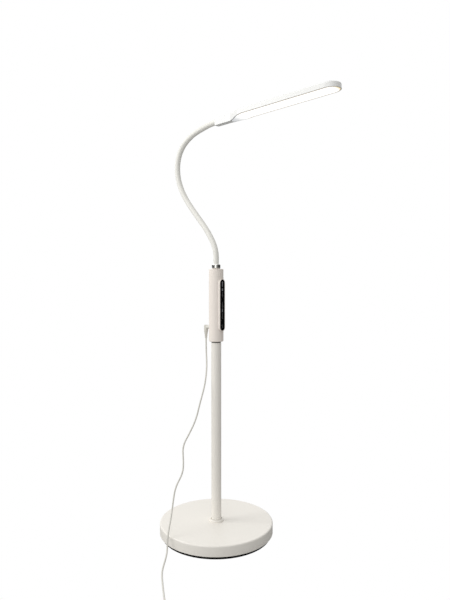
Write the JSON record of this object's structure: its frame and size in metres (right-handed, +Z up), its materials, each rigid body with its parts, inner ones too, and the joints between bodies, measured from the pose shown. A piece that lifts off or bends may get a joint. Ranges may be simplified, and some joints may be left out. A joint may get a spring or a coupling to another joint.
{
  "type": "gooseneck reading floor lamp",
  "caption": "Free-standing reading lamp: heavy round base, slim pole, control housing with touch panel, flexible gooseneck, flat light head, low-voltage lead with plug-in adapter.",
  "frame": {"origin": "middle of the base's foam pad, on the floor", "axes": "+Z up along the pole, +X towards the tip of the light head, -X towards the inlet at the housing's back"},
  "size_m": [0.4247, 0.4462, 0.9396],
  "materials": {
    "white_steel": "fine textured warm white powder coat",
    "white_plastic": "satin white moulded plastic",
    "neck_sleeve": "white rubbery sleeve over a steel gooseneck",
    "chrome": "polished plating",
    "black_gloss": "black glossy panel",
    "black_plastic": "fine matt black",
    "black_shoulder": "dark oxide finish",
    "foam": "black foam rubber",
    "concrete": "cast concrete",
    "zinc": "zinc-plated steel",
    "brass": "plain turned brass",
    "spring_steel": "plain spring steel",
    "circuit_board": "green solder mask",
    "components": "black moulded components",
    "diffuser": "milky translucent",
    "led_aluminium": "white solder mask on aluminium",
    "led_phosphor": "yellow phosphor",
    "tape": "thin adhesive tape",
    "cord_jacket": "white PVC jacket",
    "wire_insulation": "thin insulation",
    "nickel": "nickel plate"
  },
  "bodies": {
    "root": {"adapter_board": "circuit_board", "adapter_case": "white_plastic", "adapter_lid": "white_plastic", "adapter_pins": "nickel", "base_cover": "white_steel", "base_pad": "foam", "base_plate": "zinc", "base_weight": "concrete", "board_parts": "components", "board_screws": "zinc", "bolt_washer": "zinc", "coil_tie": "black_plastic", "control_board": "circuit_board", "cord": "cord_jacket", "cord_coil": "cord_jacket", "cord_end": "cord_jacket", "dc_jack": "black_plastic", "dc_plug": "white_plastic", "housing_body": "white_plastic", "housing_cap": "white_plastic", "housing_socket": "black_plastic", "jack_nut": "nickel", "jack_wires": "wire_insulation", "lock_nut": "brass", "lock_washer": "zinc", "neck_ferrule": "chrome", "neck_foot": "neck_sleeve", "neck_lead": "wire_insulation", "neck_nipple": "brass", "panel_frame": "white_plastic", "plug_barrel": "nickel", "pole_bolt": "zinc", "pole_collar": "white_steel", "pole_foot_plug": "zinc", "pole_head_plug": "black_shoulder", "pole_tube": "white_steel", "touch_panel": "black_gloss", "touch_springs": "spring_steel"},
    "neck_01": {"neck_link_01": "neck_sleeve"},
    "neck_02": {"neck_link_02": "neck_sleeve"},
    "neck_03": {"neck_link_03": "neck_sleeve"},
    "neck_04": {"neck_link_04": "neck_sleeve"},
    "neck_05": {"neck_link_05": "neck_sleeve"},
    "neck_06": {"neck_link_06": "neck_sleeve"},
    "neck_07": {"neck_link_07": "neck_sleeve"},
    "neck_08": {"neck_link_08": "neck_sleeve"},
    "neck_09": {"neck_link_09": "neck_sleeve"},
    "neck_10": {"neck_link_10": "neck_sleeve"},
    "head": {"neck_top": "neck_sleeve", "head_shell": "white_plastic", "head_diffuser": "diffuser", "light_mixer": "white_plastic", "led_board": "led_aluminium", "board_tape": "tape", "led_chips": "led_phosphor", "end_bush": "black_plastic", "head_lead": "wire_insulation"}
  },
  "joints": [
    {"name": "neck_bend_01", "type": "hinge", "parent": "root", "child": "neck_01", "pos_m": [0, 0, 0.616], "axis": [0, 1, 0], "range_deg": [-6, 15]},
    {"name": "neck_swing_02", "type": "hinge", "parent": "neck_01", "child": "neck_02", "pos_m": [-0.00967, 0, 0.6521], "axis": [0.866, 0, 0.5], "range_deg": [-15, 15]},
    {"name": "neck_bend_03", "type": "hinge", "parent": "neck_02", "child": "neck_03", "pos_m": [-0.03133, 0, 0.68302], "axis": [0, 1, 0], "range_deg": [-15, 15]},
    {"name": "neck_swing_04", "type": "hinge", "parent": "neck_03", "child": "neck_04", "pos_m": [-0.05637, 0, 0.71133], "axis": [0.7314, 0, 0.682], "range_deg": [-15, 15]},
    {"name": "neck_bend_05", "type": "hinge", "parent": "neck_04", "child": "neck_05", "pos_m": [-0.08116, 0, 0.73985], "axis": [0, 1, 0], "range_deg": [-15, 15]},
    {"name": "neck_swing_06", "type": "hinge", "parent": "neck_05", "child": "neck_06", "pos_m": [-0.102, 0, 0.77132], "axis": [0.8829, 0, 0.4695], "range_deg": [-15, 15]},
    {"name": "neck_bend_07", "type": "hinge", "parent": "neck_06", "child": "neck_07", "pos_m": [-0.11378, 0, 0.80705], "axis": [0, 1, 0], "range_deg": [-15, 10]},
    {"name": "neck_swing_08", "type": "hinge", "parent": "neck_07", "child": "neck_08", "pos_m": [-0.11084, 0, 0.84441], "axis": [0.9537, 0, -0.3007], "range_deg": [-15, 15]},
    {"name": "neck_bend_09", "type": "hinge", "parent": "neck_08", "child": "neck_09", "pos_m": [-0.09012, 0, 0.87542], "axis": [0, 1, 0], "range_deg": [-15, 3.5]},
    {"name": "neck_swing_10", "type": "hinge", "parent": "neck_09", "child": "neck_10", "pos_m": [-0.05754, 0, 0.89422], "axis": [0.342, 0, -0.9397], "range_deg": [-15, 15]},
    {"name": "neck_bend_11", "type": "hinge", "parent": "neck_10", "child": "head", "pos_m": [-0.02132, 0, 0.90495], "axis": [0, 1, 0], "range_deg": [-15, 15]}
  ]
}
